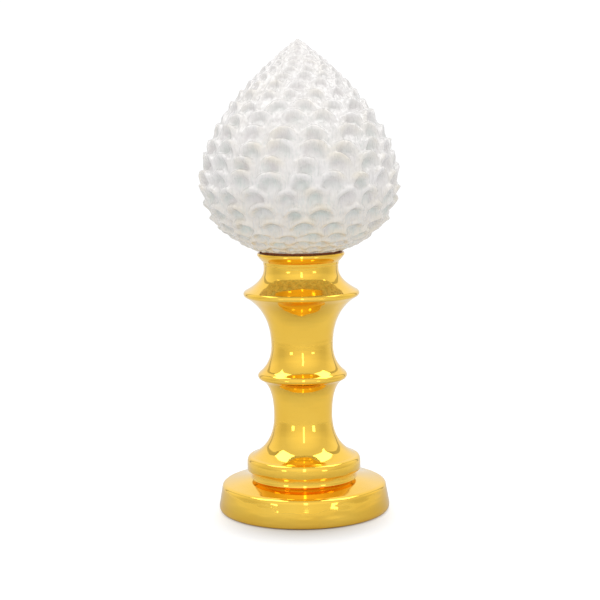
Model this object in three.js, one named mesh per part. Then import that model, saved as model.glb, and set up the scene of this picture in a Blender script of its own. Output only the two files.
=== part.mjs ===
// Pine cone finial on a turned stand, in millimetres, +Z up, standing on the origin.
// The white cone is covered with rows of pointed-up scales, and its neck stands in a
// shallow seat in the collar of the gold stand, which is one turned solid.

import * as THREE from "three";

// Foot of the stand
const footWidestRadius = 82.3;
const footWidestHeight = 5;
const footSoleRadius = 78.1; // outer edge of the flat that it stands on
const footSoleWidth = 9;
const footHollowDepth = 3.5; // shallow hollow under the foot, inside the sole
const footShoulderRadius = 79.2;
const footShoulderHeight = 22.9;
const footDomeRise = 9; // from the shoulder up to the inner end of the dome
const footRoundWidth = 5; // the round from the shoulder in to the dome
const footRoundRise = 4.6; // from the shoulder up to the outer end of the dome

// Stepped ring on the foot
const stepFilletRadius = 51.1;
const stepFilletHeight = 8.1;
const stepFilletHollow = 1; // how deep its cove is
const stepRingRadius = 54.7;
const stepRingHeight = 6.6; // its upright side
const stepRoundWidth = 4.6; // the round shoulder on top of it
const stepRoundHeight = 6.4;

// Stem: two waists and a neck, with a thin lip between each
const lowerWaistRadius = 28.1;
const lowerWaistHeight = 92;
const lowerLipRadius = 42.8;
const lowerLipHeight = 131;
const lowerLipHalfThickness = 3;
const upperWaistRadius = 29.6;
const upperWaistHeight = 159.7;
const upperLipRadius = 55.4;
const upperLipHeight = 210;
const upperLipHalfThickness = 2.5;
const stemNeckRadius = 35.6;
const stemNeckHeight = 233.7;
const footFlareReach = 0.72; // how far each sweep runs along the stem before it turns out
const lowerLipUndersideReach = 0.86;
const lowerLipTopReach = 0.64;
const upperLipUndersideReach = 0.71;
const upperLipTopReach = 0.54;

// Collar
const collarBeadRadius = 36.1;
const collarBeadHeight = 3;
const collarLipRadius = 41.7;
const collarLipHeight = 246.8;
const collarTopHeight = 249.4;
const collarCoveHeight = 6.4; // from the bead up to the lip
const collarCoveHollow = 0.4; // how far its curve aims in from a straight slope
const collarTopWidth = 0.8; // flat on top of the lip, round the seat
const seatDepth = 1.6;
const seatClearance = 0.4; // between the cone's neck and the wall of its seat
const restGap = 0.3; // under the cone's neck

// Cone
const coneNeckRadius = 39.2;
const coneNeckLength = 3.4;
const bellyRadius = 89.2;
const bellyHeight = 318;
const coneHeight = 450;
const coneTaper = 1.83; // power of the curve from the belly to the tip

// Scales
const bellyPitch = 28.5; // from one scale to the next in a row
const pitchAtNeck = 15;
const neckFade = 52; // length over which the scales grow from the neck up
const pitchAtTip = 8.5;
const tipFade = 104;
const rowShare = 0.5; // distance between rows, as a share of the pitch
const bellyLift = 7; // how far a scale's tip stands off the cone
const liftPower = 1.1; // small scales lie flatter than large ones
const liftLoss = 0.5; // share of the lift that is lost from the belly up to the tip
const neckLift = 0.4; // share of the lift that is left at the neck
const valleyLift = 0.14; // lift between two scales, as a share of the lift at the tip
const hollowLift = 0.28; // lift in the hollow of a scale's face, as a share of the same
const firstRow = 3; // from the neck to the tips of the first row
const lastRow = 6; // from the last row's tips to the tip of the cone
const tipCapLift = 0.4;

// Placing by hand leaves each scale a little off its place
const turnError = 0.05;
const heightError = 0.09;
const liftError = 0.16;

const turnSegments = 40;
const curveStep = 9.5;

const glaze = new THREE.MeshStandardMaterial({ color: 0xe9ebe6, roughness: 0.12, metalness: 0 });
const gold = new THREE.MeshStandardMaterial({ color: 0xe0a93a, roughness: 0.1, metalness: 1 });

// A value from 0 to 1 that looks random but is always the same for one scale.
function scatter(row, place, kind) {
  const wave = Math.sin(row * 12.9898 + place * 78.233 + kind * 37.719) * 43758.5453;
  return wave - Math.floor(wave);
}

// A curve between a waist, where it runs along the stem, and a lip, where it has turned out.
function sweep(path, waist, lipHeight, reach, end) {
  path.quadraticCurveTo(waist.radius, waist.height + (lipHeight - waist.height) * reach, end.x, end.y);
}

function footOutline(path) {
  const soleInside = footSoleRadius - footSoleWidth;
  path.moveTo(0, footHollowDepth);
  path.lineTo(soleInside - footHollowDepth, footHollowDepth);
  path.lineTo(soleInside, 0);
  path.lineTo(footSoleRadius, 0);
  path.quadraticCurveTo(footWidestRadius, 0, footWidestRadius, footWidestHeight);
  path.lineTo(footShoulderRadius, footShoulderHeight);
  const domeRadius = footShoulderRadius - footRoundWidth;
  const domeBottom = footShoulderHeight + footRoundRise;
  const slope = (footDomeRise - footRoundRise) / (domeRadius - stepFilletRadius);
  path.quadraticCurveTo(footShoulderRadius, domeBottom - slope * footRoundWidth, domeRadius, domeBottom);
  path.lineTo(stepFilletRadius, footShoulderHeight + footDomeRise);
}

// Returns the top of the ring, where the stem's first sweep starts.
function stepOutline(path) {
  const bottom = footShoulderHeight + footDomeRise;
  const filletTop = bottom + stepFilletHeight;
  const ringTop = filletTop + stepRingHeight;
  const coveRadius = stepFilletRadius - stepFilletHollow;
  path.quadraticCurveTo(coveRadius, bottom + stepFilletHeight / 2, stepFilletRadius, filletTop);
  path.lineTo(stepRingRadius, filletTop);
  path.lineTo(stepRingRadius, ringTop);
  const top = new THREE.Vector2(stepRingRadius - stepRoundWidth, ringTop + stepRoundHeight);
  path.quadraticCurveTo(stepRingRadius, top.y, top.x, top.y);
  return top;
}

function stemOutline(path, start) {
  const waists = [
    { radius: lowerWaistRadius, height: lowerWaistHeight },
    { radius: upperWaistRadius, height: upperWaistHeight },
    { radius: stemNeckRadius, height: stemNeckHeight },
  ];
  const lips = [
    { radius: lowerLipRadius, height: lowerLipHeight, half: lowerLipHalfThickness },
    { radius: upperLipRadius, height: upperLipHeight, half: upperLipHalfThickness },
  ];
  const topReaches = [footFlareReach, lowerLipTopReach, upperLipTopReach];
  const undersideReaches = [lowerLipUndersideReach, upperLipUndersideReach];
  let lipTop = start;
  waists.forEach((waist, i) => {
    sweep(path, waist, lipTop.y, topReaches[i], new THREE.Vector2(waist.radius, waist.height));
    if (i === lips.length) return;
    const { radius, height, half } = lips[i];
    const edge = new THREE.Vector2(radius - half / 2, height - half);
    sweep(path, waist, edge.y, undersideReaches[i], edge);
    lipTop = new THREE.Vector2(edge.x, height + half);
    path.quadraticCurveTo(radius + half / 2, height, lipTop.x, lipTop.y);
  });
}

function collarOutline(path) {
  const beadBottom = collarLipHeight - collarCoveHeight - collarBeadHeight;
  const beadTop = collarLipHeight - collarCoveHeight;
  const seatRadius = coneNeckRadius + seatClearance;
  path.lineTo(stemNeckRadius, beadBottom);
  path.quadraticCurveTo(collarBeadRadius, beadBottom, collarBeadRadius, beadTop);
  const coveRadius = (collarBeadRadius + collarLipRadius) / 2 + collarCoveHollow;
  const coveHeight = (beadTop + collarLipHeight) / 2 - collarCoveHollow;
  path.quadraticCurveTo(coveRadius, coveHeight, collarLipRadius, collarLipHeight);
  path.lineTo(seatRadius + collarTopWidth, collarTopHeight);
  path.lineTo(seatRadius, collarTopHeight);
  path.lineTo(seatRadius, collarTopHeight - seatDepth);
  path.lineTo(0, collarTopHeight - seatDepth);
}

// Straight stretches keep their two ends, and curves get points about one curve step apart.
function outlinePoints(path) {
  const points = path.curves.flatMap((curve) => {
    const steps = curve.type === "LineCurve" ? 1 : Math.max(2, Math.round(curve.getLength() / curveStep));
    return Array.from({ length: steps }, (_, i) => curve.getPoint(i / steps));
  });
  return [...points, path.curves.at(-1).getPoint(1)];
}

function stand() {
  const path = new THREE.Path();
  footOutline(path);
  const stepTop = stepOutline(path);
  stemOutline(path, stepTop);
  collarOutline(path);
  const mesh = new THREE.Mesh(new THREE.LatheGeometry(outlinePoints(path), turnSegments), gold);
  mesh.name = "stand";
  mesh.rotation.x = Math.PI / 2;
  return mesh;
}

// The cone's own surface, without its scales, as a curve from the neck to the tip. Given the
// distance along it, at returns the place, and out the direction square to the surface.
function coneSurface() {
  const neckTop = collarTopHeight - seatDepth + restGap + coneNeckLength;
  const depth = (bellyHeight - neckTop) / Math.sqrt(1 - (coneNeckRadius / bellyRadius) ** 2);
  const radiusAt = (z) =>
    z < bellyHeight
      ? bellyRadius * Math.sqrt(1 - ((bellyHeight - z) / depth) ** 2)
      : bellyRadius * (1 - ((z - bellyHeight) / (coneHeight - bellyHeight)) ** coneTaper);
  const steps = 240;
  const points = [];
  for (let i = 0; i <= steps; i += 1) {
    const z = neckTop + ((coneHeight - neckTop) * i) / steps;
    points.push(new THREE.Vector2(radiusAt(z), z));
  }
  const along = [0];
  points.slice(1).forEach((p, i) => along.push(along[i] + p.distanceTo(points[i])));
  const length = along[steps];
  const stepAt = (s) => {
    let i = 1;
    while (i < steps && along[i] < s) i += 1;
    return i;
  };
  return {
    neckTop,
    length,
    at(s) {
      const i = stepAt(s);
      const share = (s - along[i - 1]) / (along[i] - along[i - 1]);
      return points[i - 1].clone().lerp(points[i], share);
    },
    out(s) {
      const i = stepAt(s);
      const run = points[i].clone().sub(points[i - 1]).normalize();
      return new THREE.Vector2(run.y, -run.x);
    },
  };
}

// Rows of scales from the neck up, each with its distance along the surface and its number.
function scaleRows(surface) {
  const pitchAt = (s) => {
    const fromNeck = pitchAtNeck + ((bellyPitch - pitchAtNeck) * s) / neckFade;
    const fromTip = pitchAtTip + ((bellyPitch - pitchAtTip) * (surface.length - s)) / tipFade;
    return Math.min(bellyPitch, fromNeck, fromTip);
  };
  const rows = [];
  let s = firstRow;
  while (s < surface.length - lastRow) {
    const pitch = pitchAt(s);
    const count = Math.max(4, Math.round((2 * Math.PI * surface.at(s).x) / pitch));
    const up = Math.max(0, (surface.at(s).y - bellyHeight) / (coneHeight - bellyHeight));
    const grown = neckLift + (1 - neckLift) * Math.min(1, s / neckFade);
    const lift = bellyLift * (pitch / bellyPitch) ** liftPower * (1 - liftLoss * up) * grown;
    rows.push({ s, pitch, count, lift });
    s += pitch * rowShare;
  }
  return rows;
}

function ringPoint(surface, turn, s, lift) {
  const place = surface.at(s).addScaledVector(surface.out(s), lift);
  return { turn, point: new THREE.Vector3(place.x * Math.cos(turn), place.x * Math.sin(turn), place.y) };
}

// A place below the tips of a row, by a share of its pitch. The first rows have less room.
function below(row, share) {
  return row.s - Math.min(row.pitch * share, row.s * share * 1.4);
}

// The edge of a row: each scale has a tip, two shoulders and a low place before the next one.
function edgeRing(surface, row, index) {
  const step = (2 * Math.PI) / row.count;
  const ring = [];
  for (let k = 0; k < row.count; k += 1) {
    const middle = (k + (index % 2) / 2 + turnError * (2 * scatter(index, k, 1) - 1)) * step;
    const s = row.s + row.pitch * heightError * (2 * scatter(index, k, 2) - 1);
    const shoulder = below({ ...row, s }, 0.13);
    const lift = row.lift * (1 + liftError * (2 * scatter(index, k, 3) - 1));
    const valley = (k + (index % 2) / 2 - 0.5) * step;
    ring.push(ringPoint(surface, valley, below(row, 0.52), lift * valleyLift));
    ring.push(ringPoint(surface, middle - step * 0.26, shoulder, lift * 0.9));
    ring.push(ringPoint(surface, middle, s, lift));
    ring.push(ringPoint(surface, middle + step * 0.26, shoulder, lift * 0.9));
  }
  return ring;
}

// The low line across the faces of a row, which makes each scale hollow like a spoon.
function hollowRing(surface, row, index) {
  const step = (2 * Math.PI) / row.count;
  const ring = [];
  for (let k = 0; k < row.count; k += 1) {
    const valley = (k + (index % 2) / 2 - 0.5) * step;
    ring.push(ringPoint(surface, valley, below(row, 0.62), row.lift * valleyLift * 0.5));
    ring.push(ringPoint(surface, valley + step / 2, below(row, 0.33), row.lift * hollowLift));
  }
  return ring;
}

// Where the next row comes out from behind this one, on the cone's own surface.
function rootRing(surface, row, index) {
  const step = (2 * Math.PI) / row.count;
  const ring = [];
  for (let k = 0; k < row.count; k += 1) {
    const valley = (k + (index % 2) / 2 - 0.5) * step;
    ring.push(ringPoint(surface, valley, below(row, 0.47), 0));
    ring.push(ringPoint(surface, valley + step / 2, below(row, 0.3), 0));
  }
  return ring;
}

function circleRing(radius, height, count) {
  return Array.from({ length: count }, (_, k) => {
    const turn = (2 * Math.PI * k) / count;
    return { turn, point: new THREE.Vector3(radius * Math.cos(turn), radius * Math.sin(turn), height) };
  });
}

// Triangles between two rings, the lower one first, by walking round both together.
function joinRings(faces, lower, upper) {
  const full = 2 * Math.PI;
  const turnOf = (ring, i) => ring[i % ring.length].turn + full * Math.floor(i / ring.length);
  let start = 0;
  while (turnOf(upper, start) < lower[0].turn) start += 1;
  const [lowerEnd, upperEnd] = [lower.length, start + upper.length];
  let [i, j] = [0, start];
  while (i < lowerEnd || j < upperEnd) {
    const lowerNext = (turnOf(lower, i) + turnOf(lower, i + 1)) / 2;
    const upperNext = (turnOf(upper, j) + turnOf(upper, j + 1)) / 2;
    const onLower = j >= upperEnd || (i < lowerEnd && lowerNext <= upperNext);
    const a = lower[i % lower.length].point;
    const b = upper[j % upper.length].point;
    if (onLower) {
      faces.push(a, lower[(i + 1) % lower.length].point, b);
      i += 1;
    } else {
      faces.push(a, upper[(j + 1) % upper.length].point, b);
      j += 1;
    }
  }
}

function closeRing(faces, ring, middle, upwards) {
  ring.forEach(({ point }, i) => {
    const next = ring[(i + 1) % ring.length].point;
    faces.push(middle, upwards ? point : next, upwards ? next : point);
  });
}

function pineCone() {
  const surface = coneSurface();
  const rows = scaleRows(surface);
  const neckBottom = surface.neckTop - coneNeckLength;
  const rings = [circleRing(coneNeckRadius, neckBottom, turnSegments)];
  rings.push(circleRing(coneNeckRadius, surface.neckTop, turnSegments));
  rows.forEach((row, index) => {
    if (index > 0) rings.push(hollowRing(surface, row, index));
    rings.push(edgeRing(surface, row, index));
    if (index < rows.length - 1) rings.push(rootRing(surface, row, index));
  });
  const faces = [];
  closeRing(faces, rings[0], new THREE.Vector3(0, 0, neckBottom), false);
  rings.slice(1).forEach((ring, i) => joinRings(faces, rings[i], ring));
  closeRing(faces, rings.at(-1), new THREE.Vector3(0, 0, coneHeight - tipCapLift), true);
  const mesh = new THREE.Mesh(new THREE.BufferGeometry().setFromPoints(faces), glaze);
  mesh.geometry.computeVertexNormals();
  mesh.name = "pine_cone";
  return mesh;
}

const group = new THREE.Group();
group.add(stand(), pineCone());

export default group;
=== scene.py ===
"""Pine cone finial: a white glazed cone of scales on a turned gold stand, in a pale studio.

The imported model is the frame. The cone and the stand are modelled again here in finer form,
to the same sizes, and stand for their CAD nodes.
"""

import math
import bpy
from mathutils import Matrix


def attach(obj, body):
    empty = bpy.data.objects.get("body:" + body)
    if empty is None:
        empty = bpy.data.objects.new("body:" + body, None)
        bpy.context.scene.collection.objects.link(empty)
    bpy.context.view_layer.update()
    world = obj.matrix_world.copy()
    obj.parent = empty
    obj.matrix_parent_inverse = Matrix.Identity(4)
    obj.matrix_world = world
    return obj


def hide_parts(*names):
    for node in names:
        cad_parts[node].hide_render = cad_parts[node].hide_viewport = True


bl_info = {
    "name": "Pine Cone Finial",
    "version": (1, 0, 0),
    "blender": (4, 5, 0),
    "location": "View3D > Sidebar > Finial",
    "description": "Models a glazed pine cone finial and its gold stand, in a pale studio",
    "category": "Object",
}

from bisect import bisect_left

import bmesh
import bpy
from bpy.props import FloatProperty, FloatVectorProperty, IntProperty, PointerProperty
from mathutils import Matrix, Vector, noise

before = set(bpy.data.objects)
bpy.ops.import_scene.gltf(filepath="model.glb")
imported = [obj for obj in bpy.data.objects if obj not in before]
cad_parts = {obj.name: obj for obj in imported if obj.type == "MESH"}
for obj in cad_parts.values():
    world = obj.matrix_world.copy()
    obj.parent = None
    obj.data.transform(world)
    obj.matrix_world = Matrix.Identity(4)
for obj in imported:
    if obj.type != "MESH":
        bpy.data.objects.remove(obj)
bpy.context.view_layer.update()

CLOSE = 1e-6  # metres within which two points, or two heights, count as one
BLACK, WHITE = (0, 0, 0), (1, 1, 1)
SCATTER = (12.9898, 78.233, 37.719, 43758.5453)  # the figures that the part's source scatters by
ASIDE, UPWARD, LIFTED, LEANING, WIDENED = range(1, 6)  # what a scattered value is for


def length(name, default, description):
    return FloatProperty(name=name, description=description, default=default, unit="LENGTH", precision=4)


def share(name, default, description):
    return FloatProperty(name=name, description=description, default=default, min=0, soft_max=1)


def number(name, default, description):
    return FloatProperty(name=name, description=description, default=default)


def angle(name, default, description):
    return FloatProperty(name=name, description=description, default=default, unit="ROTATION")


def power(name, default, description):
    return FloatProperty(name=name, description=description, default=default, unit="POWER")


def count(name, default, description):
    return IntProperty(name=name, description=description, default=default, min=1)


def colour(name, default, description):
    return FloatVectorProperty(
        name=name, description=description, default=default, subtype="COLOR", size=3, min=0, max=1
    )


def lengths(name, default, description):
    return FloatVectorProperty(
        name=name, description=description, default=default, unit="LENGTH", size=len(default)
    )


class ConeSettings(bpy.types.PropertyGroup):
    """Sizes of the cone and of the scales stuck on it"""

    neck_radius: length("Neck radius", 0.0392, "Radius of the short neck under the scales")
    neck_length: length("Neck length", 0.0034, "Length of the neck, from its seat to the first scales")
    neck_edge_width: length("Neck edge width", 0.0005, "Width of the slope round the neck's underside")
    neck_edge_height: length("Neck edge height", 0.0006, "Height of that slope")
    rest_height: length("Rest height", 0.2481, "Height of the underside of the neck")
    belly_radius: length("Belly radius", 0.0892, "Widest radius of the cone under its scales")
    belly_height: length("Belly height", 0.318, "Height of the widest place")
    height: length("Height", 0.45, "Height of the cone's tip above the ground")
    taper: number("Taper", 1.83, "Power of the curve up to the tip")
    tip_rounding: length("Tip rounding", 0.0006, "How much the very tip of the cone is rounded off")

    belly_pitch: length("Belly pitch", 0.0285, "From one scale to the next in a row, at the belly")
    neck_pitch: length("Neck pitch", 0.015, "The same in the first row over the neck")
    neck_fade: length("Neck fade", 0.052, "Length over which the scales grow from the neck up")
    tip_pitch: length("Tip pitch", 0.0085, "The same in the last row under the tip")
    tip_fade: length("Tip fade", 0.104, "Length over which the scales shrink towards the tip")
    row_share: share("Row share", 0.5, "Distance between rows, as a share of the pitch")
    fewest_scales: count("Fewest scales", 4, "Number of scales in a row, at the least")
    first_row: length("First row", 0.003, "From the neck to the tips of the first row")
    last_row: length("Last row", 0.006, "From the tips of the last row to the tip of the cone")

    belly_lift: length("Belly lift", 0.0065, "How far a scale's tip stands off the cone at the belly")
    lift_power: number("Lift power", 1.1, "How much flatter small scales lie")
    lift_loss: share("Lift loss", 0.5, "Share of the lift that is lost from the belly up to the tip")
    neck_lift: share("Neck lift", 0.4, "Share of the lift that is left at the neck")
    hook: share("Hook", 0.34, "How far the tips curl up, as a share of their lift")

    scale_width: share("Scale width", 0.43, "Half a scale's width, as a share of the pitch")
    rim_width: share("Rim width", 0.22, "Width of a scale's raised rim, as a share of the pitch")
    side_rise: share("Side rise", 0.15, "Height of the rim at the sides, as a share of that at the tip")
    face_rise: share("Face rise", 0.3, "How far the face stands off the cone, as a share of the lift")
    outer_slope: share("Outer slope", 0.15, "Width of the slope outside a scale, as a share of the pitch")
    rim_rounding: share("Rim rounding", 0.04, "How far inside it that slope ends, as a share of the pitch")
    dent_depth: share("Dent depth", 0.3, "Depth of the thumb mark under the rim, as a share of the lift")
    dent_top: share("Dent top", 0.2, "From the tip to the mark's deepest place, as a share of the pitch")
    dent_bottom: share("Dent bottom", 0.62, "From the tip to the mark's lower end, as a share of the pitch")

    turn_error: share("Turn error", 0.05, "How far a scale may sit to one side, as a share of the pitch")
    height_error: share("Height error", 0.09, "How far a scale may sit up or down, as a share of the pitch")
    lift_error: share("Lift error", 0.16, "How much a scale's lift may differ from its row's")
    width_error: share("Width error", 0.2, "How much a scale's width may differ from its row's")
    lean_error: angle("Lean error", 0.22, "How far a scale may lean")
    roughness: length("Roughness", 0.0008, "How far the hand-pressed clay is uneven")
    roughness_size: length("Roughness size", 0.0045, "Size of that unevenness")

    turns: count("Turns", 384, "Number of segments round the cone")
    rings: count("Rings", 240, "Number of rings from the neck to the tip")
    side_steps: count("Side steps", 240, "Number of steps in measuring the bare side")


class StandSettings(bpy.types.PropertyGroup):
    """Sizes of the turned stand"""

    foot_widest_radius: length("Foot radius", 0.0823, "Widest radius of the foot")
    foot_widest_height: length("Foot widest height", 0.005, "Height of the foot's widest place")
    foot_sole_radius: length("Sole radius", 0.0781, "Outer radius of the flat that the stand rests on")
    foot_sole_width: length("Sole width", 0.009, "Width of that flat")
    foot_hollow_depth: length("Hollow depth", 0.0035, "Depth of the hollow under the foot")
    foot_shoulder_radius: length("Shoulder radius", 0.0792, "Radius at the top of the foot's side")
    foot_shoulder_height: length("Shoulder height", 0.0229, "Height of the top of the foot's side")
    foot_dome_rise: length("Dome rise", 0.009, "From the shoulder up to the inner end of the dome")
    foot_round_width: length("Foot round width", 0.005, "From the shoulder in to the dome's outer end")
    foot_round_rise: length("Foot round rise", 0.0046, "From the shoulder up to the dome's outer end")

    step_fillet_radius: length("Fillet radius", 0.0511, "Radius of the cove under the stepped ring")
    step_fillet_height: length("Fillet height", 0.0081, "Height of that cove")
    step_fillet_hollow: length("Fillet hollow", 0.001, "How far its curve aims in from straight up")
    step_ring_radius: length("Ring radius", 0.0547, "Radius of the stepped ring")
    step_ring_height: length("Ring height", 0.0066, "Height of the stepped ring's upright side")
    step_round_width: length("Ring round width", 0.0046, "Width of the round shoulder on top of the ring")
    step_round_height: length("Ring round height", 0.0064, "Height of that shoulder")

    lower_waist_radius: length("Lower waist radius", 0.0281, "Radius of the stem's lower waist")
    lower_waist_height: length("Lower waist height", 0.092, "Height of that waist")
    lower_lip_radius: length("Lower lip radius", 0.0428, "Radius of the stem's lower lip")
    lower_lip_height: length("Lower lip height", 0.131, "Height of that lip")
    lower_lip_half: length("Lower lip half", 0.003, "Half the thickness of that lip")
    upper_waist_radius: length("Upper waist radius", 0.0296, "Radius of the stem's upper waist")
    upper_waist_height: length("Upper waist height", 0.1597, "Height of that waist")
    upper_lip_radius: length("Upper lip radius", 0.0554, "Radius of the stem's upper lip")
    upper_lip_height: length("Upper lip height", 0.21, "Height of that lip")
    upper_lip_half: length("Upper lip half", 0.0025, "Half the thickness of that lip")
    neck_radius: length("Stem neck radius", 0.0356, "Radius of the stem under the collar")
    neck_height: length("Stem neck height", 0.2337, "Height of that place")

    foot_flare_reach: share("Foot flare reach", 0.72, "How far this sweep runs along the stem")
    lower_underside_reach: share("Lower underside reach", 0.86, "How far this sweep runs along the stem")
    lower_top_reach: share("Lower top reach", 0.64, "How far this sweep runs along the stem")
    upper_underside_reach: share("Upper underside reach", 0.71, "How far this sweep runs along the stem")
    upper_top_reach: share("Upper top reach", 0.54, "How far this sweep runs along the stem")

    collar_bead_radius: length("Bead radius", 0.0361, "Radius of the bead under the collar")
    collar_bead_height: length("Bead height", 0.003, "Height of that bead")
    collar_cove_height: length("Collar cove height", 0.0064, "Height of the cove up to the collar's lip")
    collar_cove_hollow: length("Collar cove hollow", 0.0004, "How far its curve aims in from straight")
    collar_lip_radius: length("Collar lip radius", 0.0417, "Radius of the collar's lip")
    collar_lip_height: length("Collar lip height", 0.2468, "Height of the collar's lip")
    collar_top_height: length("Collar top height", 0.2494, "Height of the collar's top")
    collar_top_width: length("Collar top width", 0.0008, "Width of the flat round the cone's seat")
    seat_radius: length("Seat radius", 0.0396, "Radius of the seat that the cone stands in")
    seat_depth: length("Seat depth", 0.0016, "Depth of that seat")

    curve_step: length("Curve step", 0.0016, "Distance between points on a curved stretch")
    fewest_steps: count("Fewest steps", 3, "Number of steps on a curved stretch, at the least")
    sharp_angle: angle("Sharp angle", math.radians(24), "Edges that fold by more than this are rounded")
    edge_rounding: length("Edge rounding", 0.0004, "Glaze rounding on those edges")
    edge_segments: count("Edge segments", 2, "Number of steps in that rounding")
    turns: count("Turns", 160, "Number of segments round the stand")


class FinishSettings(bpy.types.PropertyGroup):
    """Colours and patterns of the two finishes"""

    white: colour("White", (0.835, 0.81, 0.795), "Glaze where it lies thin")
    # Pooled white is glaze lying thick in the thumb marks and also painted shade: it is laid darkest just
    # under each rim and fades downwards.
    pooled_and_shaded: colour("Pooled white", (0.72, 0.69, 0.68), "Glaze in the hollows, where it lies thick")
    green: colour("Pooled green", (0.64, 0.71, 0.66), "The same where the glaze is greenish")
    cream: colour("Cream", (0.80, 0.76, 0.69), "Warmer clouds in the glaze")
    # Painted reflection of the gold on the glaze near the collar; the same warm colour is laid on some rim
    # tips.
    gold_glow_tint: colour("Blush", (0.80, 0.72, 0.58), "Glaze near the collar, tinged by the gold, and on some rims")
    # The clay colour is painted shade: the dark reddish seam where the cone's neck stands in the collar.
    clay: colour("Bare clay", (0.34, 0.12, 0.05), "Unglazed neck of the cone")
    gold: colour("Gold", (0.95, 0.605, 0.088), "Gold lustre")
    deep_gold: colour("Deep gold", (0.91, 0.52, 0.05), "Gold lustre where it lies thicker")
    # Painted shade: the collar's top flat and the top of the seat wall are laid dark reddish, as the shaded
    # gap round the cone.
    seam: colour("Seam", (0.28, 0.05, 0.02), "Bare reddish line round the cone's seat")

    green_size: length("Green size", 0.022, "Size of the greenish patches")
    cloud_size: length("Cloud size", 0.03, "Size of the warm clouds in the glaze")
    cloud_share: share("Cloud share", 0.35, "How strongly those clouds show")
    gold_glow_share: share("Blush share", 0.8, "How strongly the blush shows at the neck")
    mottle_size: length("Mottle size", 0.004, "Size of the fine mottling")
    pooled_shade_share: share("Hollow share", 0.4, "How strongly pooled glaze shows in hollows, mottling apart")
    neck_shade_share: share("Bare share", 0.9, "Share of the cone's neck that is bare clay")
    streak_size: length("Streak size", 0.0018, "Width of the runs in the glaze")
    streak_slimness: share("Streak slimness", 0.14, "A run's width, as a share of its length")
    streak_share: share("Streak share", 0.6, "How strongly the runs show")
    streak_depth: length("Streak depth", 0.0013, "Bump of the runs")
    dimple_size: length("Dimple size", 0.006, "Size of the soft dimples under the glaze")
    dimple_depth: length("Dimple depth", 0.0009, "Bump of the dimples")
    dimple_strength: share("Dimple strength", 0.8, "Share of that bump that shows")
    glaze_roughness: share("Glaze roughness", 0.12, "Roughness of the glaze, before the mottling")
    mottle_roughness: share("Mottle roughness", 0.12, "Roughness that the mottling adds")
    glaze_index: number("Glaze index", 1.5, "Refractive index of the glaze")
    coat_weight: share("Coat weight", 0.6, "How much clear gloss lies over the glaze")
    coat_roughness: share("Coat roughness", 0.03, "Roughness of that gloss")

    gold_cloud_size: length("Gold cloud size", 0.045, "Size of the deeper clouds in the gold")
    gold_cloud_share: share("Gold cloud share", 0.45, "How strongly they show")
    gold_cloud_roughness: share("Gold cloud roughness", 0.05, "Roughness that they add")
    speck_size: length("Speck size", 0.0009, "Size of the specks in the gold")
    speck_share: share("Speck share", 0.12, "How strongly they show")
    speck_roughness: share("Speck roughness", 0.06, "Roughness that they add")
    gold_roughness: share("Gold roughness", 0.045, "Roughness of the plain gold")
    seam_share: share("Seam share", 0.85, "How strongly the bare line shows")
    seam_drop: share("Seam drop", 0.25, "Depth of that line from the collar's top, as a share of the seat's")
    wheel_size: length("Wheel size", 0.035, "Width of the slow waves left by the wheel")
    wheel_slimness: number("Wheel slimness", 4, "How many times as wide as high those waves are")
    wheel_depth: length("Wheel depth", 0.0009, "Bump of those waves")
    wheel_strength: share("Wheel strength", 0.6, "Share of that bump that shows")
    grain_size: length("Grain size", 0.0016, "Size of the fine grain in the gold")
    grain_depth: length("Grain depth", 0.00001, "Bump of that grain")


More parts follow.
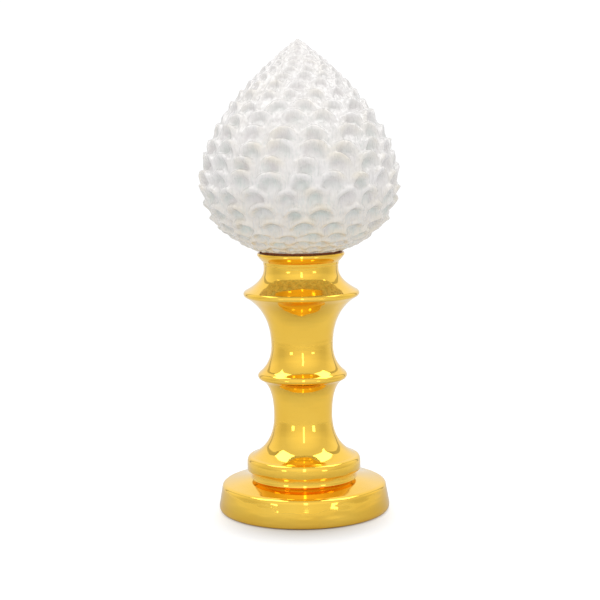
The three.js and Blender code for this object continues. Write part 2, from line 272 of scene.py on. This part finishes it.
class StageSettings(bpy.types.PropertyGroup):
    """Camera, floor, surround and lights"""

    camera_distance: length("Camera distance", 1.45, "From the finial's axis to the camera")
    camera_height: length("Camera height", 0.385, "Height of the camera")
    camera_side: length("Camera side", -0.0014, "How far the camera stands to the right")
    camera_pitch: angle("Camera pitch", math.radians(7.15), "How far it looks down")
    camera_roll: angle("Camera roll", math.radians(-0.87), "How far it is turned")
    focal_share: number("Focal share", 2.55, "Focal length, as a share of the sensor's width")

    light_aim: length("Light aim", 0.2, "Height on the finial that every light faces")
    panel_power: power("Panel power", 3.6, "Power of each mirrored panel")
    panel_place: lengths("Panel place", (0.6, 0.1, 1.25), "Place of the right one, high beside the finial")
    panel_size: lengths("Panel size", (0.6, 0.7), "Width and height of each panel")
    window_power: power("Window power", 0.7, "Power of each low mirrored light")
    window_place: lengths("Window place", (1.3, -1.55, 0.16), "Place of the right one, beside the camera")
    window_size: lengths("Window size", (0.34, 0.28), "Width and height of each low light")
    strip_power: power("Strip power", 2.0, "Power of the tall front light")
    strip_place: lengths("Strip place", (0.06, -2.2, 0.9), "Place of that light, behind the camera")
    strip_size: lengths("Strip size", (0.2, 1.6), "Width and height of that light")
    top_power: power("Top power", 3.4, "Power of the soft light overhead")
    top_place: lengths("Top place", (0, -0.2, 1.6), "Place of that light")
    top_size: lengths("Top size", (1.3, 1.3), "Width and height of that light")

    backdrop: number("Backdrop", 1.05, "Brightness of the white surround as the camera sees it")
    sky: number("Surround", 1.04, "Brightness of the surround otherwise")
    fill: share("Fill", 0.92, "Share of that brightness that lights matt surfaces")
    front_glow: number("Front glow", 1.1, "Share of that brightness mirrored from behind the camera")
    side_glow: share("Side glow", 0.79, "The same from the sides")
    rear_glow: share("Rear glow", 0.22, "How much is added to it behind the finial")
    low_glow: share("Low glow", 0.84, "Share of what is mirrored that is left low down")
    post_place: share("Post place", 0.6, "How far aside each dim post stands, as a share of its distance")
    post_width: share("Post width", 0.08, "Width of each dim post, as a share of its distance")
    post_shade: share("Post shade", 0.45, "How dark each post is")

    floor: colour("Floor", (0.62, 0.63, 0.65), "Floor colour")
    floor_roughness: share("Floor roughness", 0.7, "Roughness of the floor")
    floor_radius: length("Floor radius", 1.3, "Radius at which the floor has faded into the surround")
    floor_whole: share("Floor whole", 0.4, "Where that fading starts, as a share of the radius")
    floor_sides: count("Floor sides", 64, "Number of segments round the floor")
    floor_glow: number("Floor glow", 0.5, "Light that the floor gives of itself")
    shadow_place: lengths("Shadow place", (0, -0.05, 0), "Middle of the soft shadow before the foot")
    shadow_core: length("Shadow core", 0.03, "Radius up to which the camera sees no glow there")
    shadow_edge: length("Shadow edge", 0.095, "Radius from which it sees the whole glow")
    bounce_start: length("Bounce start", 0.1, "From the finial's axis to where the glow starts to light it")
    bounce_full: length("Bounce full", 0.25, "From the axis to where the glow lights it the most")
    bounce_share: share("Bounce share", 0.34, "Share of the glow that does so there")


class Link:
    """An output socket, with the arithmetic that the finishes use"""

    def __init__(self, nodes, socket):
        self.nodes = nodes
        self.socket = socket

    def maths(self, operation, first, second=0):
        return self.nodes.add("ShaderNodeMath", {"operation": operation}, {0: first, 1: second})

    def __add__(self, other):
        return self.maths("ADD", self, other)

    def __radd__(self, other):
        return self.maths("ADD", other, self)

    def __rsub__(self, other):
        return self.maths("SUBTRACT", other, self)

    def __mul__(self, other):
        return self.maths("MULTIPLY", self, other)

    def __rmul__(self, other):
        return self.maths("MULTIPLY", other, self)

    def __gt__(self, other):
        return self.maths("GREATER_THAN", self, other)

    def __lt__(self, other):
        return self.maths("LESS_THAN", self, other)

    def __abs__(self):
        return self.maths("ABSOLUTE", self)


class Nodes:
    """The node tree of one finish, or of the surround"""

    def __init__(self, tree):
        self.tree = tree
        tree.nodes.clear()

    def add(self, kind, settings, inputs, output=0):
        """Makes a node, fills in its settings and inputs, and gives one of its outputs."""
        node = self.tree.nodes.new(kind)
        for name, value in settings.items():
            if name == "stops":
                for stop, (position, tone) in zip(node.color_ramp.elements, value):
                    stop.position = position
                    stop.color = (tone, tone, tone, 1)
            else:
                setattr(node, name, value)
        for key, value in inputs.items():
            if isinstance(value, Link):
                self.tree.links.new(value.socket, node.inputs[key])
            else:
                node.inputs[key].default_value = value
        return Link(self, node.outputs[output]) if len(node.outputs) else None

    def place(self, kind="Object"):
        return self.add("ShaderNodeTexCoord", {}, {}, kind)

    def axis(self, place, letter):
        return self.add("ShaderNodeSeparateXYZ", {}, {"Vector": place}, letter)

    def stretched(self, place, upward):
        """The same place with its height multiplied: by less than 1, it draws a pattern out upright."""
        return self.add("ShaderNodeMapping", {}, {"Vector": place, "Scale": (1, 1, upward)})

    def distance(self, place, centre=(0, 0, 0)):
        return self.add("ShaderNodeVectorMath", {"operation": "DISTANCE"}, {0: place, 1: centre}, "Value")

    def ray(self, kind):
        return self.add("ShaderNodeLightPath", {}, {}, f"Is {kind} Ray")

    def painted(self, name):
        """A value kept in the mesh's own points."""
        return self.add("ShaderNodeAttribute", {"attribute_name": name}, {}, "Fac")

    def mix(self, factor, first, second):
        """A colour mix, whose own sockets are factor 0, colours 6 and 7, and result 2."""
        first = first if isinstance(first, Link) else (*first, 1)
        second = second if isinstance(second, Link) else (*second, 1)
        return self.add("ShaderNodeMix", {"data_type": "RGBA"}, {0: factor, 6: first, 7: second}, 2)

    def noise(self, place, size, detail):
        return self.add("ShaderNodeTexNoise", {}, {"Vector": place, "Scale": 1 / size, "Detail": detail})

    def ramp(self, value, none, full):
        """Black up to one value, and white from another on."""
        return self.add("ShaderNodeValToRGB", {"stops": ((none, 0), (full, 1))}, {"Fac": value})

    def span(self, value, low, high, at_low=0.0, at_high=1.0, kind="LINEAR"):
        """Runs from one figure where the value is low to another where it is high."""
        inputs = {"Value": value, 1: low, 2: high, 3: at_low, 4: at_high}
        return self.add("ShaderNodeMapRange", {"interpolation_type": kind}, inputs)

    def bump(self, height, distance, strength=1.0, normal=None):
        inputs = {"Height": height, "Distance": distance, "Strength": strength}
        if normal:
            inputs["Normal"] = normal
        return self.add("ShaderNodeBump", {}, inputs)


def new_finish(name, make):
    """A material whose surface is the shader that make returns."""
    material = bpy.data.materials.new(name)
    material.use_nodes = True
    nodes = Nodes(material.node_tree)
    nodes.add("ShaderNodeOutputMaterial", {}, {"Surface": make(nodes)})
    return material


def white_glaze(nodes):
    """Glossy glaze with upright runs, pooled and greener in the hollows, and warm near the gold.

    The pooled colour is also painted shade, darkest just under each rim. The warmth near the
    gold is a painted reflection of the gold. Most of the neck is painted a dark reddish shade,
    as in the seam where the cone stands in the collar.
    """
    finish = bpy.context.scene.finial_finish
    cone = bpy.context.scene.finial_cone
    place = nodes.place()
    height = nodes.axis(place, "Z")
    hollow, rim = nodes.painted("hollow"), nodes.painted("rim")
    near_gold = nodes.span(height, cone.rest_height, cone.belly_height, 1, 0)
    below_tip = nodes.span(height, cone.rest_height, cone.height - cone.last_row, 1, 0)

    clouds = nodes.ramp(nodes.noise(place, finish.cloud_size, detail=3), none=0.42, full=0.66)
    greenish = nodes.ramp(nodes.noise(place, finish.green_size, detail=2), none=0.4, full=0.6)
    mottle = nodes.noise(place, finish.mottle_size, detail=3)
    streak = nodes.noise(nodes.stretched(place, finish.streak_slimness), finish.streak_size, detail=2)
    dimple = nodes.noise(place, finish.dimple_size, detail=2)

    pooled_and_shaded = nodes.mix(greenish * below_tip, finish.pooled_and_shaded, finish.green)
    tone = nodes.mix(clouds * finish.cloud_share, finish.white, finish.cream)
    # Painted reflection of the gold: the glaze takes the gold's warm colour, fading from the neck up to the
    # belly.
    tone = nodes.mix(near_gold * finish.gold_glow_share, tone, finish.gold_glow_tint)
    tone = nodes.mix(nodes.ramp(streak, none=0.48, full=0.66) * finish.streak_share, tone, pooled_and_shaded)
    # Painted shade: the pooled colour fills each thumb mark, darkest just under the rim and fading
    # downwards.
    tone = nodes.mix(hollow * (finish.pooled_shade_share + mottle), tone, pooled_and_shaded)
    # The same warm colour on the rim tips where the clouds are, more towards the neck.
    tone = nodes.mix(rim * clouds * below_tip, tone, finish.gold_glow_tint)
    # Painted shade: most of the neck, between the collar and the first scales, is laid dark reddish.
    bare = height < cone.rest_height + cone.neck_length * finish.neck_shade_share
    tone = nodes.mix(bare, tone, finish.clay)

    streaks = nodes.bump(streak, finish.streak_depth)
    inputs = {
        "Base Color": tone,
        "Roughness": finish.glaze_roughness + mottle * finish.mottle_roughness,
        "IOR": finish.glaze_index,
        "Coat Weight": finish.coat_weight,
        "Coat Roughness": finish.coat_roughness,
        "Normal": nodes.bump(dimple, finish.dimple_depth, finish.dimple_strength, streaks),
    }
    return nodes.add("ShaderNodeBsdfPrincipled", {}, inputs)


def gold_lustre(nodes):
    """A bright metal film on smooth glaze, deeper in clouds, with slow waves from the wheel."""
    finish = bpy.context.scene.finial_finish
    stand = bpy.context.scene.finial_stand
    place = nodes.place()
    clouds = nodes.ramp(nodes.noise(place, finish.gold_cloud_size, detail=3), none=0.38, full=0.7)
    specks = nodes.ramp(nodes.noise(place, finish.speck_size, detail=2), none=0.62, full=0.72)
    waves = nodes.noise(nodes.stretched(place, finish.wheel_slimness), finish.wheel_size, detail=1)
    grain = nodes.noise(place, finish.grain_size, detail=2)

    tone = nodes.mix(clouds * finish.gold_cloud_share, finish.gold, finish.deep_gold)
    tone = nodes.mix(specks * finish.speck_share, tone, finish.deep_gold)
    # Painted shade: the collar's top and the top of the seat round the cone are laid dark reddish, as a
    # shaded gap.
    seam_height = stand.collar_top_height - stand.seat_depth * finish.seam_drop
    above_lip = nodes.axis(place, "Z") > seam_height
    tone = nodes.mix(above_lip * finish.seam_share, tone, finish.seam)

    wheel = nodes.bump(waves, finish.wheel_depth, finish.wheel_strength)
    gloss = finish.gold_roughness + clouds * finish.gold_cloud_roughness + specks * finish.speck_roughness
    inputs = {
        "Base Color": tone,
        "Metallic": 1.0,
        "Roughness": gloss,
        "Normal": nodes.bump(grain, finish.grain_depth, normal=wheel),
    }
    return nodes.add("ShaderNodeBsdfPrincipled", {}, inputs)


def pale_floor(nodes):
    """A white table that glows a little and fades out into the surround.

    The camera sees the whole glow outside a soft shadow before the foot. The finial is lit by
    less of it, and only from further out, so that the gold mirrors a darker floor.
    """
    stage = bpy.context.scene.finial_stage
    place = nodes.place()
    distance = nodes.distance(place)
    whole_to = stage.floor_radius * stage.floor_whole
    bounced = nodes.span(distance, stage.bounce_start, stage.bounce_full, 0, stage.bounce_share)
    from_shadow = nodes.distance(place, stage.shadow_place)
    shown = nodes.span(from_shadow, stage.shadow_core, stage.shadow_edge)
    bounced_glow, shown_glow = (nodes.mix(factor, BLACK, WHITE) for factor in (bounced, shown))
    inputs = {
        "Base Color": (*stage.floor, 1),
        "Roughness": stage.floor_roughness,
        "Emission Color": nodes.mix(nodes.ray("Camera"), bounced_glow, shown_glow),
        "Emission Strength": stage.floor_glow,
        "Alpha": nodes.span(distance, whole_to, stage.floor_radius, 1, 0, "SMOOTHSTEP"),
    }
    return nodes.add("ShaderNodeBsdfPrincipled", {}, inputs)


def finished_piece(name, bm, material, node):
    """Turns a bmesh into a piece of the object that stands for a CAD node."""
    mesh = bpy.data.meshes.new(name)
    bm.to_mesh(mesh)
    bm.free()
    mesh.shade_smooth()
    mesh.materials.append(material)
    piece = bpy.data.objects.new(name, mesh)
    bpy.context.scene.collection.objects.link(piece)
    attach(piece, "root")
    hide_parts(node)


def spun(points, turns):
    """A closed bmesh: a line of (radius, height) points turned once round the upright axis."""
    bm = bmesh.new()
    verts = [bm.verts.new((radius, 0, height)) for radius, height in points]
    edges = [bm.edges.new(pair) for pair in zip(verts, verts[1:])]
    bmesh.ops.spin(
        bm,
        geom=verts + edges,
        cent=(0, 0, 0),
        axis=(0, 0, 1),
        angle=math.tau,
        steps=turns,
        use_merge=True,
    )
    bmesh.ops.remove_doubles(bm, verts=bm.verts, dist=CLOSE)
    bmesh.ops.recalc_face_normals(bm, faces=bm.faces)
    return bm


class Outline:
    """A line of (radius, height) points for turning, with curved stretches"""

    def __init__(self, radius, height, step, fewest):
        self.points = [(radius, height)]
        self.step = step
        self.fewest = fewest

    def line(self, radius, height):
        self.points.append((radius, height))

    def curve(self, corner_radius, corner_height, radius, height):
        """A curve to the new point that leaves and arrives in line with a corner between them."""
        start = Vector(self.points[-1])
        corner = Vector((corner_radius, corner_height))
        end = Vector((radius, height))
        steps = max(self.fewest, round(((corner - start).length + (end - corner).length) / self.step))
        for i in range(1, steps + 1):
            t = i / steps
            self.points.append(tuple(start * (1 - t) ** 2 + corner * 2 * t * (1 - t) + end * t * t))


def scatter(row, place, kind):
    """A value from -1 to 1 that looks random but is always the same for one scale."""
    by_row, by_place, by_kind, spread = SCATTER
    wave = math.sin(row * by_row + place * by_place + kind * by_kind) * spread
    return 2 * (wave - math.floor(wave)) - 1


class ConeSurface:
    """The cone without its scales, measured along its side from the neck to the tip"""

    def __init__(self, cone):
        self.cone = cone
        self.neck_top = cone.rest_height + cone.neck_length
        depth = cone.belly_height - self.neck_top
        self.depth = depth / math.sqrt(1 - (cone.neck_radius / cone.belly_radius) ** 2)
        steps = cone.side_steps
        heights = [self.neck_top + (cone.height - self.neck_top) * i / steps for i in range(steps + 1)]
        self.points = [Vector((self.radius_at(z), z)) for z in heights]
        self.along = [0]
        for first, second in zip(self.points, self.points[1:]):
            self.along.append(self.along[-1] + (second - first).length)
        self.length = self.along[-1]

    def radius_at(self, z):
        cone = self.cone
        if z < cone.belly_height:
            return cone.belly_radius * math.sqrt(1 - ((cone.belly_height - z) / self.depth) ** 2)
        up = (z - cone.belly_height) / (cone.height - cone.belly_height)
        return cone.belly_radius * (1 - up**cone.taper)

    def at(self, s):
        """The place at a distance along the side, and the direction square to it."""
        if s <= 0:
            return Vector((self.cone.neck_radius, self.neck_top + s)), Vector((1, 0))
        i = 1
        while i < len(self.along) - 1 and self.along[i] < s:
            i += 1
        run = self.points[i] - self.points[i - 1]
        part = (s - self.along[i - 1]) / (self.along[i] - self.along[i - 1])
        return self.points[i - 1] + run * part, Vector((run.y, -run.x)).normalized()


def scale_rows(cone, surface):
    """Rows of scales from the neck up: distance along the side, pitch, number and lift."""
    rows = []
    s = cone.first_row
    while s < surface.length - cone.last_row:
        left = surface.length - s
        from_neck = cone.neck_pitch + (cone.belly_pitch - cone.neck_pitch) * s / cone.neck_fade
        from_tip = cone.tip_pitch + (cone.belly_pitch - cone.tip_pitch) * left / cone.tip_fade
        pitch = min(cone.belly_pitch, from_neck, from_tip)
        radius, height = surface.at(s)[0]
        in_row = max(cone.fewest_scales, round(math.tau * radius / pitch))
        up = max(0, (height - cone.belly_height) / (cone.height - cone.belly_height))
        grown = cone.neck_lift + (1 - cone.neck_lift) * min(1, s / cone.neck_fade)
        size = (pitch / cone.belly_pitch) ** cone.lift_power
        rows.append((s, pitch, in_row, cone.belly_lift * size * (1 - cone.lift_loss * up) * grown))
        s += pitch * cone.row_share
    return rows


def smooth(low, high, value):
    """From 0 below low to 1 above high, with soft ends."""
    t = min(1, max(0, (value - low) / (high - low)))
    return t * t * (3 - 2 * t)


class Scale:
    """One scale pressed on the cone by hand: the place of its tip, and its sizes"""

    crest = 0.3  # how far in the rim keeps its full height, as a share of its width

    def __init__(self, cone, row, index, k):
        s, self.pitch, in_row, lift = row
        self.cone = cone
        aside = (index % 2) / 2 + cone.turn_error * scatter(index, k, ASIDE)
        self.turn = (k + aside) * math.tau / in_row
        self.tip = s + self.pitch * cone.height_error * scatter(index, k, UPWARD)
        self.lift = lift * (1 + cone.lift_error * scatter(index, k, LIFTED))
        lean = cone.lean_error * scatter(index, k, LEANING)
        self.cos, self.sin = math.cos(lean), math.sin(lean)
        self.half_width = cone.scale_width * self.pitch * (1 + cone.width_error * scatter(index, k, WIDENED))

    def relief(self, across, down):
        """At a place beside and below the tip: how far this scale covers it, and what it has there.

        That is its height, how deep the thumb mark is, and how much of the tip's rim it is.
        """
        cone, pitch, half = self.cone, self.pitch, self.half_width
        x = across * self.cos + down * self.sin
        y = down * self.cos - across * self.sin
        edge = half - math.hypot(x, half - y) if y < half else half - abs(x)
        cover = smooth(-cone.outer_slope * pitch, cone.rim_rounding * pitch, edge)
        if cover == 0:
            return 0, 0, 0, 0
        to_tip = smooth(0, 1, (half - y) / half)
        rim = 1 - smooth(cone.rim_width * pitch * self.crest, cone.rim_width * pitch, edge)
        dent = (1 - rim) * (1 - smooth(cone.dent_top * pitch, cone.dent_bottom * pitch, y))
        rise = (1 - cone.face_rise) * rim * (cone.side_rise + (1 - cone.side_rise) * to_tip)
        return cover, self.lift * (cone.face_rise + rise - cone.dent_depth * dent), dent, rim * to_tip


class Scales:
    """All the scales, the lower rows lying over the upper ones"""

    above, below = 0.3, 1.4  # how far a row reaches from its tips, in pitches

    def __init__(self, cone, surface):
        self.rows = []
        for index, row in enumerate(scale_rows(cone, surface)):
            self.rows.append((row, index, [Scale(cone, row, index, k) for k in range(row[2])]))
        self.rows.reverse()

    def near(self, s):
        """The rows that reach a distance along the cone."""
        return [row for row in self.rows if -self.above < (row[0][0] - s) / row[0][1] < self.below]

    def relief(self, rows, turn, s, radius):
        """At a place on the cone: the height of the scales, the depth of the mark, and the rim."""
        height = hollow = rim = 0
        for (_, _, in_row, _), index, scales in rows:
            first = math.floor(turn / math.tau * in_row - (index % 2) / 2)
            for k in (first, first + 1):
                scale = scales[k % in_row]
                beside = (turn - scale.turn + math.pi) % math.tau - math.pi
                cover, own_height, own_hollow, own_rim = scale.relief(beside * radius, scale.tip - s)
                height += (own_height - height) * cover
                hollow += (own_hollow - hollow) * cover
                rim += (own_rim - rim) * cover
        return height, hollow, rim


class FINIAL_OT_pine_cone(bpy.types.Operator):
    """Turns the white cone and its neck, and raises its scales out of the surface"""

    bl_idname = "finial.pine_cone"
    bl_label = "Pine Cone"

    def execute(self, context):
        cone = context.scene.finial_cone
        surface = ConeSurface(cone)
        scales = Scales(cone, surface)
        stations = [surface.length * i / cone.rings for i in range(1, cone.rings)]
        rings = [(s, *surface.at(s), scales.near(s)) for s in stations]
        heights = [side.y for _, side, _, _ in rings]
        bottom = cone.rest_height
        points = [(0, bottom), (cone.neck_radius - cone.neck_edge_width, bottom)]
        points += [(cone.neck_radius, bottom + cone.neck_edge_height), (cone.neck_radius, surface.neck_top)]
        points += [tuple(side) for _, side, _, _ in rings]
        points += [(0, cone.height - cone.tip_rounding)]
        bm = spun(points, cone.turns)
        # The hollow layer holds how deep each thumb mark is; the glaze paints its pooled colour and shade
        # there.
        hollow = bm.verts.layers.float.new("hollow")
        rim = bm.verts.layers.float.new("rim")
        for vert in bm.verts:
            ring = bisect_left(heights, vert.co.z - CLOSE)
            if vert.co.z < surface.neck_top + CLOSE or ring == len(rings):
                continue
            s, side, out, rows = rings[ring]
            turn = math.atan2(vert.co.y, vert.co.x) % math.tau
            height, vert[hollow], vert[rim] = scales.relief(rows, turn, s, side.x)
            height += cone.roughness * noise.noise(vert.co / cone.roughness_size)
            height *= smooth(0, cone.first_row, s) * smooth(0, cone.last_row, surface.length - s)
            place = side + out * height + Vector((-out.y, out.x)) * height * cone.hook
            vert.co = (place.x * math.cos(turn), place.x * math.sin(turn), place.y)
        glaze = new_finish("white_glaze", white_glaze)
        finished_piece("pine_cone_glazed", bm, glaze, "pine_cone")
        return {"FINISHED"}


def stand_outline(stand):
    """The stand's outline from the hollow under the foot up to the middle of the cone's seat."""
    line = Outline(0, stand.foot_hollow_depth, stand.curve_step, stand.fewest_steps)
    sole_inside = stand.foot_sole_radius - stand.foot_sole_width
    line.line(sole_inside - stand.foot_hollow_depth, stand.foot_hollow_depth)
    line.line(sole_inside, 0)
    line.line(stand.foot_sole_radius, 0)
    line.curve(stand.foot_widest_radius, 0, stand.foot_widest_radius, stand.foot_widest_height)
    line.line(stand.foot_shoulder_radius, stand.foot_shoulder_height)

    bottom = stand.foot_shoulder_height + stand.foot_dome_rise
    dome_radius = stand.foot_shoulder_radius - stand.foot_round_width
    dome_bottom = stand.foot_shoulder_height + stand.foot_round_rise
    slope = (bottom - dome_bottom) / (dome_radius - stand.step_fillet_radius)
    crown = dome_bottom - slope * stand.foot_round_width
    line.curve(stand.foot_shoulder_radius, crown, dome_radius, dome_bottom)
    line.line(stand.step_fillet_radius, bottom)

    cove = stand.step_fillet_radius - stand.step_fillet_hollow
    fillet_top = bottom + stand.step_fillet_height
    line.curve(cove, bottom + stand.step_fillet_height / 2, stand.step_fillet_radius, fillet_top)
    line.line(stand.step_ring_radius, fillet_top)
    ring_top = fillet_top + stand.step_ring_height
    line.line(stand.step_ring_radius, ring_top)
    round_top = ring_top + stand.step_round_height
    round_radius = stand.step_ring_radius - stand.step_round_width
    line.curve(stand.step_ring_radius, round_top, round_radius, round_top)

    waists = [
        (stand.lower_waist_radius, stand.lower_waist_height, stand.foot_flare_reach),
        (stand.upper_waist_radius, stand.upper_waist_height, stand.lower_top_reach),
        (stand.neck_radius, stand.neck_height, stand.upper_top_reach),
    ]
    lips = [
        (stand.lower_lip_radius, stand.lower_lip_height, stand.lower_lip_half, stand.lower_underside_reach),
        (stand.upper_lip_radius, stand.upper_lip_height, stand.upper_lip_half, stand.upper_underside_reach),
    ]
    for i, (waist_radius, waist_height, top_reach) in enumerate(waists):
        above = line.points[-1][1] - waist_height
        line.curve(waist_radius, waist_height + above * top_reach, waist_radius, waist_height)
        if i < len(lips):
            radius, height, half, reach = lips[i]
            under = height - half
            corner_height = waist_height + (under - waist_height) * reach
            line.curve(waist_radius, corner_height, radius - half / 2, under)
            line.curve(radius + half / 2, height, radius - half / 2, height + half)

    bead_top = stand.collar_lip_height - stand.collar_cove_height
    bead_bottom = bead_top - stand.collar_bead_height
    line.line(stand.neck_radius, bead_bottom)
    line.curve(stand.collar_bead_radius, bead_bottom, stand.collar_bead_radius, bead_top)
    cove_radius = (stand.collar_bead_radius + stand.collar_lip_radius) / 2 + stand.collar_cove_hollow
    cove_height = (bead_top + stand.collar_lip_height) / 2 - stand.collar_cove_hollow
    line.curve(cove_radius, cove_height, stand.collar_lip_radius, stand.collar_lip_height)
    flat_radius = stand.seat_radius + stand.collar_top_width
    line.curve(stand.collar_lip_radius, stand.collar_top_height, flat_radius, stand.collar_top_height)
    line.line(stand.seat_radius, stand.collar_top_height)
    line.line(stand.seat_radius, stand.collar_top_height - stand.seat_depth)
    line.line(0, stand.collar_top_height - stand.seat_depth)
    return line.points


class FINIAL_OT_stand(bpy.types.Operator):
    """Turns the gold stand from its outline, and rounds its sharp rings as a glaze does"""

    bl_idname = "finial.stand"
    bl_label = "Gold Stand"

    def execute(self, context):
        stand = context.scene.finial_stand
        bm = spun(stand_outline(stand), stand.turns)
        sharp = [
            edge
            for edge in bm.edges
            if len(edge.link_faces) == 2
            and edge.calc_face_angle() > stand.sharp_angle
            and abs(edge.verts[0].co.z - edge.verts[1].co.z) < CLOSE
        ]
        bmesh.ops.bevel(
            bm,
            geom=sharp,
            offset=stand.edge_rounding,
            offset_type="OFFSET",
            affect="EDGES",
            segments=stand.edge_segments,
            profile=0.5,
            material=-1,
            clamp_overlap=True,
        )
        lustre = new_finish("gold_lustre", gold_lustre)
        finished_piece("stand_lustred", bm, lustre, "stand")
        return {"FINISHED"}


def area_light(name, place, size, power, aim):
    """A flat light of a width and a height, facing a point on the finial."""
    light = bpy.data.lights.new(name, "AREA")
    light.shape = "RECTANGLE"
    light.size, light.size_y = size
    light.energy = power
    lamp = bpy.data.objects.new(name, light)
    lamp.location = place
    lamp.rotation_euler = (aim - Vector(place)).to_track_quat("-Z", "Y").to_euler()
    bpy.context.scene.collection.objects.link(lamp)
    return lamp


class FINIAL_OT_stage(bpy.types.Operator):
    """Sets the floor, the white surround, the soft lights and the camera"""

    bl_idname = "finial.stage"
    bl_label = "Studio"

    def floor(self, stage):
        bm = bmesh.new()
        bmesh.ops.create_circle(bm, cap_ends=True, segments=stage.floor_sides, radius=stage.floor_radius)
        mesh = bpy.data.meshes.new("floor")
        bm.to_mesh(mesh)
        bm.free()
        mesh.materials.append(new_finish("pale_floor", pale_floor))
        floor = bpy.data.objects.new("floor", mesh)
        bpy.context.scene.collection.objects.link(floor)

    def surround(self, scene, stage):
        """A white surround that the camera sees plain and that lights matt surfaces evenly.

        In a mirror it is brightest behind the camera and dimmer at the sides and low down, with
        two dim posts behind the finial.
        """
        scene.world = bpy.data.worlds.new("surround")
        scene.world.use_nodes = True
        nodes = Nodes(scene.world.node_tree)
        place = nodes.place("Generated")
        aside = abs(nodes.axis(place, "X"))
        back = nodes.axis(place, "Y")
        up = nodes.axis(place, "Z")
        front = nodes.span(back, low=-1.0, high=-0.3, at_low=stage.front_glow, at_high=stage.side_glow)
        behind = nodes.span(back, low=0.0, high=0.5, at_high=stage.rear_glow)
        high = nodes.span(up, low=0.05, high=0.35, at_low=stage.low_glow)
        post_end = stage.post_place + stage.post_width
        post = (aside > stage.post_place) * (aside < post_end) * (back > 0)
        mirrored = (front + behind) * high * (1 - post * stage.post_shade)
        scattered = nodes.ray("Diffuse")
        strength = stage.sky * (mirrored * (1 - scattered) + scattered * stage.fill)
        lit, shown = (
            nodes.add("ShaderNodeBackground", {}, {"Color": (*WHITE, 1), "Strength": glow})
            for glow in (strength, stage.backdrop)
        )
        mixed = nodes.add("ShaderNodeMixShader", {}, {0: nodes.ray("Camera"), 1: lit, 2: shown})
        nodes.add("ShaderNodeOutputWorld", {}, {"Surface": mixed})

    def lights(self, stage):
        """Two pairs that are only mirrored, a tall light in front, and a soft one overhead.

        The one overhead lights matt surfaces and is not mirrored.
        """
        aim = Vector((0, 0, stage.light_aim))
        pairs = (
            ("panel", stage.panel_place, stage.panel_size, stage.panel_power),
            ("window", stage.window_place, stage.window_size, stage.window_power),
        )
        for side in (-1, 1):
            for name, place, size, energy in pairs:
                lamp = area_light(f"{name}_{side}", (side * place[0], *place[1:]), size, energy, aim)
                lamp.visible_diffuse = False
        area_light("strip", stage.strip_place, stage.strip_size, stage.strip_power, aim)
        overhead = area_light("overhead", stage.top_place, stage.top_size, stage.top_power, aim)
        overhead.visible_glossy = False

    def camera(self, scene, stage):
        data = bpy.data.cameras.new("camera")
        data.lens = stage.focal_share * data.sensor_width
        camera = bpy.data.objects.new("camera", data)
        tilt = Matrix.Rotation(math.pi / 2 - stage.camera_pitch, 4, "X")
        roll = Matrix.Rotation(stage.camera_roll, 4, "Z")
        spot = Matrix.Translation((stage.camera_side, -stage.camera_distance, stage.camera_height))
        camera.matrix_world = spot @ tilt @ roll
        scene.collection.objects.link(camera)
        scene.camera = camera

    def execute(self, context):
        scene = context.scene
        stage = scene.finial_stage
        self.floor(stage)
        self.surround(scene, stage)
        self.lights(stage)
        self.camera(scene, stage)
        scene.view_settings.view_transform = "Standard"
        scene.view_settings.look = "None"
        return {"FINISHED"}


class FINIAL_PT_panel(bpy.types.Panel):
    """Lists the steps that make the finial"""

    bl_idname = "FINIAL_PT_panel"
    bl_label = "Pine Cone Finial"
    bl_space_type = "VIEW_3D"
    bl_region_type = "UI"
    bl_category = "Finial"

    def draw(self, context):
        for operator in (FINIAL_OT_stage, FINIAL_OT_pine_cone, FINIAL_OT_stand):
            self.layout.operator(operator.bl_idname)


SETTINGS = {
    "finial_cone": ConeSettings,
    "finial_stand": StandSettings,
    "finial_finish": FinishSettings,
    "finial_stage": StageSettings,
}
CLASSES = (*SETTINGS.values(), FINIAL_OT_pine_cone, FINIAL_OT_stand, FINIAL_OT_stage, FINIAL_PT_panel)


def register():
    for one in CLASSES:
        bpy.utils.register_class(one)
    for name, group in SETTINGS.items():
        setattr(bpy.types.Scene, name, PointerProperty(type=group))


def unregister():
    for name in SETTINGS:
        delattr(bpy.types.Scene, name)
    for one in reversed(CLASSES):
        bpy.utils.unregister_class(one)


def main():
    register()
    bpy.ops.finial.stage()
    bpy.ops.finial.pine_cone()
    bpy.ops.finial.stand()


if __name__ == "__main__":
    main()
